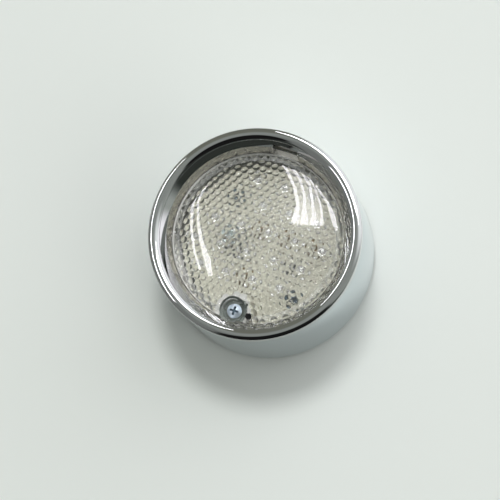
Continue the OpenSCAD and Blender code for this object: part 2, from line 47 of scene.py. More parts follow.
# Bezel ring
CROWN_R = 3.6
CROWN_OUT = math.radians(40)
CROWN_IN = math.radians(-55)
LIP_EDGE_R = 0.6
CROWN_AT = RIM_R - LIP_EDGE_R - (CROWN_R - LIP_EDGE_R) * math.sin(CROWN_OUT)
CREASE_R = CROWN_AT + CROWN_R * math.sin(CROWN_IN)
CREASE_DEPTH = CROWN_R - CROWN_R * math.cos(CROWN_IN)
CONE_FOOT_R = 41.9
CONE_FOOT_DEPTH = 4.5
SEAT_R = 40.6
GASKET_R = 39.3
LEDGE_DEPTH = 15.1
BEZEL_DEPTH = 17.1
BEZEL_OUTER_R = 42.6
BEZEL_WALL = 2.0
ROOF_DEPTH = 7.8
SPIGOT_R = 47.9
SPIGOT_DEPTH = 12.2

# Cup
CUP_R = 49.6
CUP_WALL = 1.6
CUP_TOP = 54.6
CUP_CORNER = 3.0
PAD_T = 1.5
FLOOR_Z = 3.5
GROMMET_R = 6.1
NUTS = [(-25.0, 0.0), (25.0, 0.0)]
NUT_R = 4.6
SHANK_R = 2.1
SATIN_TOP = 41.0

# Lens
LENS_R = 40.3
LENS_T = 2.4
LENS_PLAY = 0.3
LENS_EDGE_R = 0.4
EDGE_DEPTH = 11.5
FLANGE_DEPTH = 13.9
FLANGE_EDGE = 0.15
DOME_R = 110.65
DOME_RISE = 7.6
DOME_Z = RIM_TOP - EDGE_DEPTH + DOME_RISE - DOME_R
TAB_W = 11.4
TAB_L = 2.6
TAB_T = 1.8
BEAD_PITCH = 3.25
BEAD_CAP_R = 1.55
BEAD_H = 0.57
BEAD_RINGS = 5
EDGE_BEADS_R = 36.4

# Well of the lens screw, and the vent beside it
WELL = (0.0, -35.4)
WELL_BORE_R = 4.8
WELL_R = 6.3
WELL_FLOOR_DEPTH = 17.1
WELL_BOTTOM_DEPTH = 19.1
POCKET_R = 8.4
POCKET_BOTTOM_DEPTH = 24.3
INSERT_ROOM_R = 2.95
SCREW_ROOM_R = 2.3
VENT = (8.2, -36.4)
VENT_R = 1.5
VENT_RIM = 0.7

# Board and what it carries. Resistors and diodes are given by the column and row of the LED that
# they lie beside.
BOARD_Z = 34.0
BOARD_R = 37.0
LED_PITCH = 13.2
LED_ROW = LED_PITCH * math.sqrt(3) / 2
LED_FIRST = (-10.0, 4.1)
LED_MARGIN = 3.4
LED_GAP = 0.3
LED_R = 2.5
LED_FLAT = 2.633
LED_COLLAR_R = 2.9
LED_COLLAR_H = 1.0
LED_COLLAR_EDGE = 0.15
LED_H = 8.6
BIT_OFFSET = 8.2
BIT_LIFT = 1.8
RESISTORS = ((0, 0), (1, 0), (2, 0), (0, -2))
DIODES = ((-1, -1), (1, -1))
CAPACITOR = (-14.1, -1.4)
BOARD_SCREWS = [(-16.9, 16.7), (22.8, -21.0)]
BOARD_SCREW_ROOM_R = 6.1

# Pan heads: radius and height of the head, radius and length of the shank
LENS_HEAD = (3.4, 2.4)
LENS_SHANK = (2.0, 6.0)
BOARD_HEAD = (2.9, 2.1)
BOARD_SHANK = (1.5, 8.0)

# Shares of a head's height: where its crown begins, and how deep the cross is
HEAD_EDGE_SHARE = 0.45
CROSS_DEPTH_SHARE = 0.62

# Shares of a head's radius: the cross's half length, half width, and the reach of the painted shade in it
CROSS_SHARE = 0.82
CROSS_ARM_SHARE = 0.17
CROSS_SHADE_SHARE = 0.72

# Shares of the cross's length and width that are left at its floor
CROSS_FLOOR_LENGTH = 0.45
CROSS_FLOOR_WIDTH = 0.7

# Steps round a large piece
ROUND_STEPS = 256

# Heights of the tools that cut right through the lens, and of the floor of its hollow's tool
TOOL_LOW = 30.0
TOOL_TOP = 70.0
HOLLOW_FLOOR = 36.0

# How far a tool reaches past the lip's top, and how far two shapes overlap where one joins or cuts
# the other
PAST = 2.0
OVERLAP = 0.5

# How far off an edge the faces on its two sides are told apart
SLACK = 0.1


def below(depth):
    """Height of a depth under the lip's top."""
    return RIM_TOP - depth


# Mesh tools

def piece(name, verts, faces, marks=None):
    """A mesh object from millimetre coordinates, its faces turned outwards."""
    mesh = bpy.data.meshes.new(name)
    mesh.from_pydata((np.asarray(verts, float) * 0.001).tolist(), [], faces)
    if marks is not None:
        mesh.polygons.foreach_set("material_index", np.asarray(marks, np.int32))
    work = bmesh.new()
    work.from_mesh(mesh)
    bmesh.ops.remove_doubles(work, verts=work.verts, dist=1e-7)
    bmesh.ops.recalc_face_normals(work, faces=work.faces)
    work.to_mesh(mesh)
    work.free()
    mesh.update()
    made = bpy.data.objects.new(name, mesh)
    bpy.context.scene.collection.objects.link(made)
    return made


def ring_grid(rings, closed):
    """Faces between rings of points, each ring a list of vertex numbers."""
    faces = []
    pairs = list(zip(rings, rings[1:]))
    if closed:
        pairs.append((rings[-1], rings[0]))
    for low, high in pairs:
        n = len(low)
        for k in range(n):
            faces.append((low[k], low[(k + 1) % n], high[(k + 1) % n], high[k]))
    return faces


def turned(outline, n, centre=(0.0, 0.0, 0.0), axis="Z"):
    """Vertices and faces of an outline of (radius, height) turned round an axis.
    An outline that starts and ends on the axis closes there, and any other closes on itself."""
    outline = [(float(r), float(h)) for r, h in outline]
    open_ended = outline[0][0] == 0.0 and outline[-1][0] == 0.0
    angle = np.arange(n) * 2 * math.pi / n
    verts, rings = [], []
    for r, h in outline:
        rings.append(list(range(len(verts), len(verts) + n)))
        flat = [(r * math.cos(t), r * math.sin(t), h) for t in angle]
        if axis == "Y":
            flat = [(x, z, -y) for x, y, z in flat]
        verts += [(x + centre[0], y + centre[1], z + centre[2]) for x, y, z in flat]
    return verts, ring_grid(rings, not open_ended)


def joined(name, parts, marks=None):
    """One object from several (vertices, faces) pairs, with a list of face marks for each pair."""
    verts, faces, marked = [], [], []
    for i, (part_verts, part_faces) in enumerate(parts):
        base = len(verts)
        verts += list(part_verts)
        faces += [tuple(base + q for q in face) for face in part_faces]
        marked += marks[i] if marks else [0] * len(part_faces)
    return piece(name, verts, faces, marked)


def banded(name, places, outline, bands):
    """Pieces lying along Y, each stretch of the outline with its own material number."""
    steps = 32
    parts = [turned(outline, steps, centre, "Y") for centre in places]
    marks = [[bands[k // steps] for k in range(len(faces))] for _, faces in parts]
    return joined(name, parts, marks)


def swing(centre, radius, first, last, steps):
    """Points on an arc, by angle from straight up towards the outside."""
    return [(centre[0] + radius * math.sin(t), centre[1] + radius * math.cos(t))
            for t in np.linspace(first, last, steps)]


def rounded(corners, steps=5):
    """A closed outline of (radius, height, rounding) corners, each rounded by its own radius."""
    points = [np.array(corner[:2], float) for corner in corners]
    outline = []
    for i, here in enumerate(points):
        radius = corners[i][2]
        if radius <= 0:
            outline.append(tuple(here))
            continue
        before = points[i - 1] - here
        after = points[(i + 1) % len(points)] - here
        before = before / np.linalg.norm(before)
        after = after / np.linalg.norm(after)
        half = math.acos(max(-1.0, min(1.0, float(before @ after)))) / 2
        reach = radius / math.tan(half)
        middle = here + (before + after) / np.linalg.norm(before + after) * radius / math.sin(half)
        start = here + before * reach - middle
        end = here + after * reach - middle
        turn = math.pi - 2 * half
        for k in range(steps + 1):
            w = k / steps
            mixed = (math.sin((1 - w) * turn) * start + math.sin(w * turn) * end) / math.sin(turn)
            outline.append(tuple(middle + mixed))
    return outline


def drum(name, at, r, low, high, n=96):
    """A closed cylinder, as a cutting or joining tool."""
    verts, faces = turned([(0, low), (r, low), (r, high), (0, high)], n, (at[0], at[1], 0))
    return piece(name, verts, faces)


def box_mesh(low, high):
    """Vertices and faces of a box."""
    (a, b, c), (d, e, f) = low, high
    verts = [(x, y, z) for z in (c, f) for x, y in ((a, b), (d, b), (d, e), (a, e))]
    faces = [(0, 3, 2, 1), (4, 5, 6, 7), (0, 1, 5, 4), (1, 2, 6, 5), (2, 3, 7, 6), (3, 0, 4, 7)]
    return verts, faces


def box(name, low, high):
    """A box, as a cutting or joining tool."""
    return piece(name, *box_mesh(low, high))


def combine(target, tool, how):
    """Joins a tool to the target, cuts it from it, or keeps what they share. The tool is used up."""
    step = target.modifiers.new("combine", "BOOLEAN")
    step.object = tool
    step.operation = how
    step.solver = "MANIFOLD"
    seen = target.evaluated_get(bpy.context.evaluated_depsgraph_get())
    made = bpy.data.meshes.new_from_object(seen)
    target.modifiers.clear()
    old = target.data
    target.data = made
    bpy.data.meshes.remove(old)
    spent = tool.data
    bpy.data.objects.remove(tool)
    bpy.data.meshes.remove(spent)


def cut(target, tool):
    """Cuts the tool from the target."""
    combine(target, tool, "DIFFERENCE")


def smooth(obj):
    """Smooth shading, with an edge left sharp where two faces meet at more than 30 degrees."""
    obj.data.polygons.foreach_set("use_smooth", np.ones(len(obj.data.polygons), bool))
    obj.data.set_sharp_from_angle(angle=math.radians(30))
    return obj


def mark(obj, *tests):
    """Gives each face the number, counted from 1, of the last test that its centre in
    millimetres passes, or 0 where it passes none."""
    for face in obj.data.polygons:
        centre = face.center * 1000
        face.material_index = 0
        for number, inside in enumerate(tests, 1):
            if inside(*centre):
                face.material_index = number
    return obj


def paint(obj, *mats):
    """Puts materials on an object in place of what it had."""
    kept = [face.material_index for face in obj.data.polygons] if len(mats) > 1 else None
    obj.data.materials.clear()
    for mat in mats:
        obj.data.materials.append(mat)
    if kept:
        obj.data.polygons.foreach_set("material_index", np.array(kept, np.int32))
    return obj


def clear_to_light(obj):
    """Light passes through to what lies under the piece, as it does through clear plastic."""
    obj.visible_shadow = False
    obj.visible_diffuse = False
    return obj


def finished(obj, slot, *cad_nodes):
    """The piece rides on the lamp and stands for its CAD nodes. Its slot is not used."""
    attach(obj, "root")
    if cad_nodes:
        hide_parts(*cad_nodes)


# Materials

def spread(tree, value, low, high):
    """Turns a noise's middle range into a range of its own."""
    made = tree.nodes.new("ShaderNodeMapRange")
    made.inputs["From Min"].default_value = 0.3
    made.inputs["From Max"].default_value = 0.7
    made.inputs["To Min"].default_value = low
    made.inputs["To Max"].default_value = high
    tree.links.new(value, made.inputs["Value"])
    return made.outputs["Result"]


def surface(name, colour, other, rough, grain, relief=0.0, relief_grain=None, **sockets):
    """A procedural material: two colours mixed by noise, roughness from a second noise, fine relief
    from a third, and constant values for the shader's other sockets."""
    mat = bpy.data.materials.new(name)
    mat.use_nodes = True
    tree = mat.node_tree
    shader = tree.nodes["Principled BSDF"]
    place = tree.nodes.new("ShaderNodeTexCoord").outputs["Object"]
    rough_grain = grain * 2.3
    relief_grain = relief_grain or grain * 3

    def noise(scale, detail):
        made = tree.nodes.new("ShaderNodeTexNoise")
        made.inputs["Scale"].default_value = scale
        made.inputs["Detail"].default_value = detail
        tree.links.new(place, made.inputs["Vector"])
        return made.outputs["Fac"]

    tones = tree.nodes.new("ShaderNodeMix")
    tones.data_type = "RGBA"
    tones.inputs["A"].default_value = (*colour, 1)
    tones.inputs["B"].default_value = (*other, 1)
    tree.links.new(spread(tree, noise(grain, 3), 0, 1), tones.inputs["Factor"])
    tree.links.new(tones.outputs["Result"], shader.inputs["Base Color"])
    tree.links.new(spread(tree, noise(rough_grain, 2), *rough), shader.inputs["Roughness"])
    if relief:
        bump = tree.nodes.new("ShaderNodeBump")
        bump.inputs["Strength"].default_value = relief
        bump.inputs["Distance"].default_value = 0.0002
        tree.links.new(noise(relief_grain, 2), bump.inputs["Height"])
        tree.links.new(bump.outputs["Normal"], shader.inputs["Normal"])
    for key, value in sockets.items():
        shader.inputs[key.replace("_", " ")].default_value = value
    return mat


def metal(name, colour, other, rough, grain, relief=0.0, metallic=1.0):
    """A metal, or a coating with a share of metal."""
    return surface(name, colour, other, rough, grain, relief, Metallic=metallic)


def clear(name, colour, other, rough, grain, relief=0.0, relief_grain=None, passes=1.0, bends=1.49):
    """A clear plastic that lets a share of the light pass and bends it."""
    return surface(name, colour, other, rough, grain, relief, relief_grain,
                   Transmission_Weight=passes, IOR=bends)


# Chrome and other finishes of the bezel ring and the cup
chrome_ring = metal("chrome_ring", (0.62, 0.63, 0.63), (0.59, 0.60, 0.60), (0.02, 0.04), 60.0)
chrome_cup = metal("chrome_cup", (0.58, 0.65, 0.68), (0.56, 0.62, 0.65), (0.03, 0.07), 50.0)
chrome_wall = metal("chrome_wall", (0.42, 0.41, 0.38), (0.34, 0.33, 0.31), (0.14, 0.2), 200.0)
satin = metal("satin", (0.76, 0.77, 0.74), (0.70, 0.71, 0.68), (0.35, 0.5), 200.0, 0.1, 0.3)
pocket_plate = metal("pocket_plate", (0.44, 0.43, 0.36), (0.22, 0.21, 0.16), (0.3, 0.45), 520.0, 0.1, 0.2)
well_floor = metal("well_floor", (0.38, 0.42, 0.39), (0.30, 0.34, 0.31), (0.25, 0.4), 300.0, 0.1, 0.6)

# Clear plastics: the lens's outside, its beads, the beads at its edge, and the LEDs
clear_plastic = clear("clear_plastic", (1.0, 1.0, 1.0), (0.985, 0.985, 0.98), (0.0, 0.012), 45.0)
beaded_plastic = clear("beaded_plastic", (1.0, 1.0, 0.99), (0.97, 0.97, 0.955), (0.0, 0.05), 700.0,
                       0.35, 1500.0)
edge_plastic = clear("edge_plastic", (0.96, 0.97, 0.96), (0.90, 0.91, 0.90), (0.02, 0.12), 700.0,
                     0.35, 1500.0, passes=0.78)
clear_resin = clear("clear_resin", (1.0, 1.0, 1.0), (0.97, 0.98, 0.99), (0.02, 0.06), 300.0, bends=1.52)

# Rubbers
silicone = surface("silicone", (0.62, 0.62, 0.60), (0.56, 0.56, 0.54), (0.4, 0.55), 250.0, 0.1)
rubber = surface("rubber", (0.022, 0.022, 0.023), (0.035, 0.035, 0.034), (0.5, 0.72), 500.0, 0.25)
vent_rubber = surface("vent_rubber", (0.006, 0.006, 0.006), (0.012, 0.012, 0.012), (0.6, 0.8), 500.0,
                      0.25, Specular_IOR_Level=0.15)

# Zinc, brass and tin
zinc = metal("zinc", (0.48, 0.58, 0.66), (0.58, 0.65, 0.71), (0.34, 0.5), 900.0, 0.12)
dull_zinc = metal("dull_zinc", (0.05, 0.06, 0.065), (0.17, 0.195, 0.20), (0.3, 0.45), 900.0, 0.12)
# Darker zinc for the cross recesses of the screw heads: painted shade where the recess lies in shadow
zinc_painted_shade = metal("zinc_painted_shade", (0.07, 0.11, 0.15), (0.11, 0.16, 0.20), (0.35, 0.5), 900.0, 0.12, 0.5)
brass = metal("brass", (0.78, 0.60, 0.30), (0.70, 0.52, 0.25), (0.18, 0.32), 500.0, 0.1)
tin = metal("tin", (0.78, 0.78, 0.76), (0.66, 0.66, 0.64), (0.18, 0.34), 1500.0, 0.15)
lead_frame = metal("lead_frame", (0.66, 0.66, 0.65), (0.52, 0.52, 0.51), (0.2, 0.34), 1500.0, 0.1)

# Pieces on the board
tan_lacquer = surface("tan_lacquer", (0.17, 0.115, 0.05), (0.10, 0.07, 0.03), (0.2, 0.32), 900.0, 0.1)
brown_ring = surface("brown_ring", (0.04, 0.03, 0.02), (0.032, 0.024, 0.015), (0.2, 0.32), 900.0)
black_ring = surface("black_ring", (0.015, 0.014, 0.014), (0.03, 0.028, 0.026), (0.2, 0.32), 900.0)
gold_ring = metal("gold_ring", (0.40, 0.27, 0.09), (0.32, 0.21, 0.07), (0.25, 0.4), 900.0, metallic=0.6)
diode_black = surface("diode_black", (0.02, 0.02, 0.02), (0.035, 0.035, 0.034), (0.35, 0.5), 800.0, 0.15)
diode_band = surface("diode_band", (0.5, 0.5, 0.5), (0.42, 0.42, 0.42), (0.35, 0.5), 800.0)
blue_sleeve = surface("blue_sleeve", (0.010, 0.013, 0.018), (0.02, 0.024, 0.03), (0.25, 0.4), 500.0, 0.1)
can_top = metal("can_top", (0.24, 0.27, 0.26), (0.17, 0.20, 0.19), (0.35, 0.5), 900.0, 0.1)
nylon = surface("nylon", (0.80, 0.78, 0.68), (0.74, 0.72, 0.62), (0.35, 0.5), 300.0, 0.1)


def board_material():
    """Cream lacquer with darker specks, which are softened over the copper fields and left as they
    are in the narrow gaps between the fields."""
    mat = surface("board_lacquer", (0.80, 0.79, 0.67), (0.16, 0.14, 0.09), (0.25, 0.4), 560.0, 0.1)
    tree = mat.node_tree
    shader = tree.nodes["Principled BSDF"]
    lacquer = shader.inputs["Base Color"].links[0].from_socket
    cells = tree.nodes.new("ShaderNodeTexVoronoi")
    cells.feature = "DISTANCE_TO_EDGE"
    cells.inputs["Scale"].default_value = 110.0
    place = tree.nodes.new("ShaderNodeTexCoord").outputs["Object"]
    tree.links.new(place, cells.inputs["Vector"])
    field = tree.nodes.new("ShaderNodeMapRange")
    field.inputs["From Min"].default_value = 0.03
    field.inputs["From Max"].default_value = 0.06
    field.inputs["To Min"].default_value = 0.0
    field.inputs["To Max"].default_value = 0.35
    tree.links.new(cells.outputs["Distance"], field.inputs["Value"])
    tones = tree.nodes.new("ShaderNodeMix")
    tones.data_type = "RGBA"
    tones.inputs["B"].default_value = (0.72, 0.73, 0.62, 1)
    tree.links.new(lacquer, tones.inputs["A"])
    tree.links.new(field.outputs["Result"], tones.inputs["Factor"])
    tree.links.new(tones.outputs["Result"], shader.inputs["Base Color"])
    return mat


# Bezel ring

def bezel_outline():
    """The lip's arcs, the cone, the seat and the spigot, as one closed outline."""
    edge_z = below(CROWN_R) + (CROWN_R - LIP_EDGE_R) * math.cos(CROWN_OUT)
    lip = swing((RIM_R - LIP_EDGE_R, edge_z), LIP_EDGE_R, math.pi / 2, CROWN_OUT, 10)
    lip += swing((CROWN_AT, below(CROWN_R)), CROWN_R, CROWN_OUT, CROWN_IN, 40)[1:]
    spigot_in = SPIGOT_R - BEZEL_WALL
    corners = [(CREASE_R, below(CREASE_DEPTH), 0.12),
               (CONE_FOOT_R, below(CONE_FOOT_DEPTH), 0.5),
               (SEAT_R, below(EDGE_DEPTH), 0.25),
               (SEAT_R, below(LEDGE_DEPTH), 0.1),
               (GASKET_R, below(LEDGE_DEPTH), 0.2),
               (GASKET_R, below(BEZEL_DEPTH), 0.3),
               (BEZEL_OUTER_R, below(BEZEL_DEPTH), 0.3),
               (BEZEL_OUTER_R, below(ROOF_DEPTH), 0.4),
               (spigot_in, below(ROOF_DEPTH), 0.4),
               (spigot_in, below(SPIGOT_DEPTH), 0.3),
               (SPIGOT_R, below(SPIGOT_DEPTH), 0.3),
               (SPIGOT_R, CUP_TOP, 0.1),
               (RIM_R, CUP_TOP, 0.3)]
    before = [(*point, 0) for point in lip[-3:-1]]
    return lip[:-3] + rounded(before + corners + [(*lip[0], 0)])


def make_bezel():
    """The chrome lip with the lens's seat, and the pocket round the well of the screw."""
    bezel = piece("bezel_ring_fine", *turned(bezel_outline(), ROUND_STEPS))
    pocket = drum("pocket", WELL, POCKET_R, below(POCKET_BOTTOM_DEPTH), below(ROOF_DEPTH) + OVERLAP)
    cut(pocket, drum("seat", (0, 0), SEAT_R, below(LEDGE_DEPTH), RIM_TOP, ROUND_STEPS))
    combine(bezel, pocket, "UNION")
    well_room_r = WELL_R + LENS_PLAY
    half_tab = TAB_W / 2 + LENS_PLAY
    notch_top = below((CREASE_DEPTH + CONE_FOOT_DEPTH) / 2)
    cut(bezel, drum("well_room", WELL, well_room_r, below(WELL_BOTTOM_DEPTH), RIM_TOP + PAST))
    cut(bezel, drum("insert_room", WELL, INSERT_ROOM_R, below(POCKET_BOTTOM_DEPTH) - 1, RIM_TOP))
    cut(bezel, box("notch", (-half_tab, LENS_R - 1, below(FLANGE_DEPTH) - LENS_PLAY),
                   (half_tab, LENS_R + TAB_L + LENS_PLAY, notch_top)))

    wall_top = below(CONE_FOOT_DEPTH) - 0.5
    ledge_low = below(LEDGE_DEPTH) - 0.02
    pocket_top = below(LEDGE_DEPTH) + 0.5
    well_edge_r = well_room_r + SLACK
    pocket_edge_r = POCKET_R + 0.3

    def on_wall(x, y, z):
        return math.hypot(x, y) < CONE_FOOT_R and z < wall_top

    def under_ledge(x, y, z):
        return z < ledge_low

    def on_pocket(x, y, z):
        return z < pocket_top and well_edge_r < math.dist((x, y), WELL) < pocket_edge_r

    def in_well(x, y, z):
        return z < ledge_low and math.dist((x, y), WELL) < well_edge_r

    mark(smooth(bezel), on_wall, under_ledge, on_pocket, in_well)
    paint(bezel, chrome_ring, chrome_wall, satin, pocket_plate, well_floor)
    finished(bezel, "bezel_chrome", "bezel_ring")


# Housing

def make_housing():
    """The chrome cup, with the holes of its floor, satin inside."""
    inside_r = CUP_R - CUP_WALL
    outline = rounded([(GROMMET_R, PAD_T, 0.2), (CUP_R, PAD_T, CUP_CORNER), (CUP_R, CUP_TOP, 0.25),
                       (inside_r, CUP_TOP, 0.25), (inside_r, below(BEZEL_DEPTH), 0),
                       (inside_r, FLOOR_Z, 1.0), (GROMMET_R, FLOOR_Z, 0.2)], 10)
    housing = piece("housing_fine", *turned(outline, ROUND_STEPS))
    over_floor = FLOOR_Z + 4.5
    for at in NUTS:
        cut(housing, drum("nut_room", at, NUT_R, 0, over_floor, 64))
    for at in BOARD_SCREWS:
        cut(housing, drum("shank_room", at, SHANK_R, 0, over_floor, 48))

    def is_inside(x, y, z):
        return math.hypot(x, y) < inside_r + 0.3 and FLOOR_Z - SLACK < z < SATIN_TOP

    paint(mark(smooth(housing), is_inside), chrome_cup, satin)
    finished(housing, "housing_chrome", "housing")


# Lens

def dome(r, sunk=0.0):
    """Height of the dome's outer face at a distance from the axis."""
    return DOME_Z - sunk + math.sqrt(DOME_R ** 2 - r * r)


def under_dome(x, y):
    """Height of the dome's inner face at a place."""
    return DOME_Z + math.sqrt((DOME_R - LENS_T) ** 2 - (x * x + y * y))


def bead_hollow(reach):
    """The space under the dome, its top dimpled by rows of round beads.
    The points are those of a lattice of triangles, with BEAD_RINGS steps from the middle of a
    bead's cell to its border. The rings inside the border are drawn to circles on a ball."""
    n = BEAD_RINGS
    step = BEAD_PITCH / (math.sqrt(3) * n)
    way_a = np.array([math.cos(math.pi / 6), math.sin(math.pi / 6)]) * step
    way_b = np.array([0.0, 1.0]) * step
    ball = (BEAD_CAP_R ** 2 + BEAD_H ** 2) / (2 * BEAD_H)

    def ring_of(a, b):
        return max(abs(a), abs(b), abs(a + b))

    def dimpled(a, b):
        """Way from the bead's middle to a lattice point, and the depth of the dimple there."""
        ring = ring_of(a, b)
        way = a * way_a + b * way_b
        if ring == n:
            return way, 0.0
        off = BEAD_CAP_R * ring / (n - 1)
        if ring:
            way = way / np.linalg.norm(way) * off
        return way, math.sqrt(ball * ball - off * off) - (ball - BEAD_H)

    square = [(a, b) for a in range(-n, n + 1) for b in range(-n, n + 1)]
    cell = [(a, b, *dimpled(a, b)) for a, b in square if ring_of(a, b) <= n]
    halves = [half for a, b in square
              for half in (((a, b), (a + 1, b), (a, b + 1)), ((a + 1, b), (a + 1, b + 1), (a, b + 1)))]
    cell_faces = [half for half in halves if all(ring_of(*corner) <= n for corner in half)]

    number, verts, tops = {}, [], []
    span = int(reach / BEAD_PITCH) + 3
    for i in range(-2 * span, 2 * span + 1):
        for j in range(-span, span + 1):
            middle_a = 2 * n * i + n * j
            middle_b = -n * i + n * j
            middle = middle_a * way_a + middle_b * way_b
            if np.linalg.norm(middle) > reach:
                continue
            for a, b, way, dip in cell:
                at = (middle_a + a, middle_b + b)
                if at not in number:
                    x, y = middle + way
                    number[at] = len(verts)
                    verts.append((x, y, under_dome(x, y) - dip))
            for half in cell_faces:
                tops.append(tuple(number[(middle_a + a, middle_b + b)] for a, b in half))

    count = len(verts)
    verts += [(x, y, HOLLOW_FLOOR) for x, y, z in verts]
    border = {}
    for face in tops:
        for u, v in zip(face, face[1:] + face[:1]):
            if (v, u) in border:
                del border[(v, u)]
            else:
                border[(u, v)] = True
    faces = tops + [tuple(count + q for q in face[::-1]) for face in tops]
    faces += [(u, count + u, count + v, v) for u, v in border]
    return verts, faces


def lens_body():
    """The lens as a solid dome, with the tube of its well and its tab."""
    dome_end_r = LENS_R - LENS_EDGE_R - 0.05
    arc = [(r, dome(r)) for r in np.linspace(0, dome_end_r, 64)]
    arc += swing((LENS_R - LENS_EDGE_R, below(EDGE_DEPTH) - LENS_EDGE_R), LENS_EDGE_R,
                 math.radians(25), math.pi / 2, 8)
    arc += [(LENS_R, below(FLANGE_DEPTH) + FLANGE_EDGE), (LENS_R - FLANGE_EDGE, below(FLANGE_DEPTH)),
            (0, below(FLANGE_DEPTH))]
    lens = piece("lens_fine", *turned(arc, ROUND_STEPS))
    cover_r = 48
    cover_sunk = 0.02
    tab_root_y = 30
    cover = [(r, dome(r, cover_sunk)) for r in np.linspace(0, cover_r, 40)]
    extras = piece("extras", *turned(cover + [(cover_r, TOOL_LOW), (0, TOOL_LOW)], 128))
    tube = drum("tube", WELL, WELL_R, below(WELL_BOTTOM_DEPTH), RIM_TOP + PAST)
    combine(tube, box("tab", (-TAB_W / 2, tab_root_y, below(FLANGE_DEPTH)),
                      (TAB_W / 2, LENS_R + TAB_L, below(FLANGE_DEPTH) + TAB_T)), "UNION")
    combine(extras, tube, "INTERSECT")
    combine(lens, extras, "UNION")
    return lens


def make_lens():
    """The clear lens, hollowed from below up to its beads, and bored for the screw and the vent."""
    lens = lens_body()
    hollow = piece("hollow", *bead_hollow(GASKET_R + 2.5))
    combine(hollow, drum("disc", (0, 0), GASKET_R, TOOL_LOW, TOOL_TOP, ROUND_STEPS), "INTERSECT")
    cut(hollow, drum("tube_keep", WELL, WELL_R, TOOL_LOW, TOOL_TOP))
    cut(hollow, drum("vent_keep", VENT, VENT_R + VENT_RIM, TOOL_LOW, TOOL_TOP))
    cut(lens, hollow)
    cut(lens, drum("under_vent", VENT, VENT_R + VENT_RIM + 0.1, TOOL_LOW, below(FLANGE_DEPTH)))
    cut(lens, drum("bore", WELL, WELL_BORE_R, below(WELL_FLOOR_DEPTH), TOOL_TOP))
    cut(lens, drum("screw_room", WELL, SCREW_ROOM_R, TOOL_LOW, TOOL_TOP, 48))
    cut(lens, drum("vent_room", VENT, VENT_R, TOOL_LOW, TOOL_TOP, 48))

    def off_well(x, y):
        return math.dist((x, y), WELL) > WELL_R + SLACK

    def on_beads(x, y, z):
        return (x * x + y * y < GASKET_R ** 2 and z < under_dome(x, y) + 1.0 and off_well(x, y)
                and math.dist((x, y), VENT) > VENT_R + SLACK)

    def on_edge_beads(x, y, z):
        return (EDGE_BEADS_R < math.hypot(x, y) < GASKET_R - SLACK and off_well(x, y)
                and below(FLANGE_DEPTH) + 0.3 < z < under_dome(x, y) + SLACK)

    paint(mark(smooth(lens), on_beads, on_edge_beads), clear_plastic, beaded_plastic, edge_plastic)
    finished(clear_to_light(lens), "clear_lens", "lens")


# LEDs

def led_place(column, row):
    """Place of an LED on the board: the odd rows are shifted by half a pitch."""
    return (LED_FIRST[0] + (column + 0.5 * (abs(row) % 2)) * LED_PITCH, LED_FIRST[1] + row * LED_ROW)


def led_fits(place):
    """Whether an LED at this place is clear of the board's edge, the screws and the pocket."""
    return (math.hypot(*place) < BOARD_R - LED_MARGIN
            and min(math.dist(place, screw) for screw in BOARD_SCREWS) > BOARD_SCREW_ROOM_R
            and math.dist(place, WELL) > POCKET_R + LED_COLLAR_R + LED_GAP)


def led_body(x, y):
    """A clear round-topped body, with a flat on its collar."""
    outline = [(0, 0), (LED_COLLAR_R, 0), (LED_COLLAR_R, LED_COLLAR_H - LED_COLLAR_EDGE),
               (LED_COLLAR_R - LED_COLLAR_EDGE, LED_COLLAR_H), (LED_R, LED_COLLAR_H)]
    outline += [(LED_R * math.cos(t), LED_H - LED_R + LED_R * math.sin(t))
                for t in np.linspace(0, math.pi / 2, 12)]
    outline[-1] = (0, LED_H)
    verts, faces = turned(outline, 32, (x, y, BOARD_Z))
    return [(min(vx, x + LED_FLAT), vy, vz) for vx, vy, vz in verts], faces


def led_metal(x, y):
    """The metal inside an LED: the cup on its post, the chip in it, and the other post with its head."""
    cup = [(0, 4.0), (0.5, 4.0), (0.95, 4.75), (1.05, 4.75), (1.05, 3.4), (0.35, 2.9), (0.35, 0.6), (0, 0.6)]
    chip = box_mesh((x - 0.57, y - 0.12, BOARD_Z + 4.0), (x - 0.33, y + 0.12, BOARD_Z + 4.2))
    post = box_mesh((x + 1.0, y - 0.25, BOARD_Z + 0.6), (x + 1.5, y + 0.25, BOARD_Z + 4.6))
    head = box_mesh((x + 0.75, y - 0.4, BOARD_Z + 4.0), (x + 1.6, y + 0.4, BOARD_Z + 4.8))
    return [turned(cup, 20, (x - 0.45, y, BOARD_Z)), chip, post, head]


def make_leds():
    """The clear bodies and, as a piece of their own, the metal inside them."""
    places = [led_place(column, row) for row in range(-3, 4) for column in range(-4, 5)]
    places = [place for place in places if led_fits(place)]
    leds = joined("leds_clear", [led_body(*place) for place in places])
    finished(clear_to_light(paint(smooth(leds), clear_resin)), "clear_led", "leds")
    led_frames = joined("led_frames", [part for place in places for part in led_metal(*place)])
    finished(paint(smooth(led_frames), lead_frame), "tinned_wire")


# Other pieces on the board

def bit_place(column, row):
    """Centre of the resistor or diode beside an LED."""
    x, y = led_place(column, row)
    return (x + BIT_OFFSET, y, BOARD_Z + BIT_LIFT)


def make_resistors():
    """Waisted lacquered bodies with brown, black and gold rings."""
    outline = [(0, -3.15), (0.9, -3.15), (1.2, -2.85), (1.2, -2.3), (1.1, -1.9), (1.0, -1.6),
               (1.0, -1.1), (1.0, -0.8), (1.0, -0.3), (1.0, 0.0), (1.0, 0.5), (1.0, 0.9), (1.1, 1.9),
               (1.2, 2.3), (1.2, 2.6), (1.2, 2.85), (0.9, 3.15), (0, 3.15)]
    bands = [0, 0, 1, 0, 0, 2, 0, 1, 0, 2, 0, 0, 0, 3, 0, 0, 0]
    resistors = banded("resistors_banded", [bit_place(*place) for place in RESISTORS], outline, bands)
    paint(smooth(resistors), tan_lacquer, brown_ring, black_ring, gold_ring)
    finished(resistors, "resistor_lacquer", "resistors")


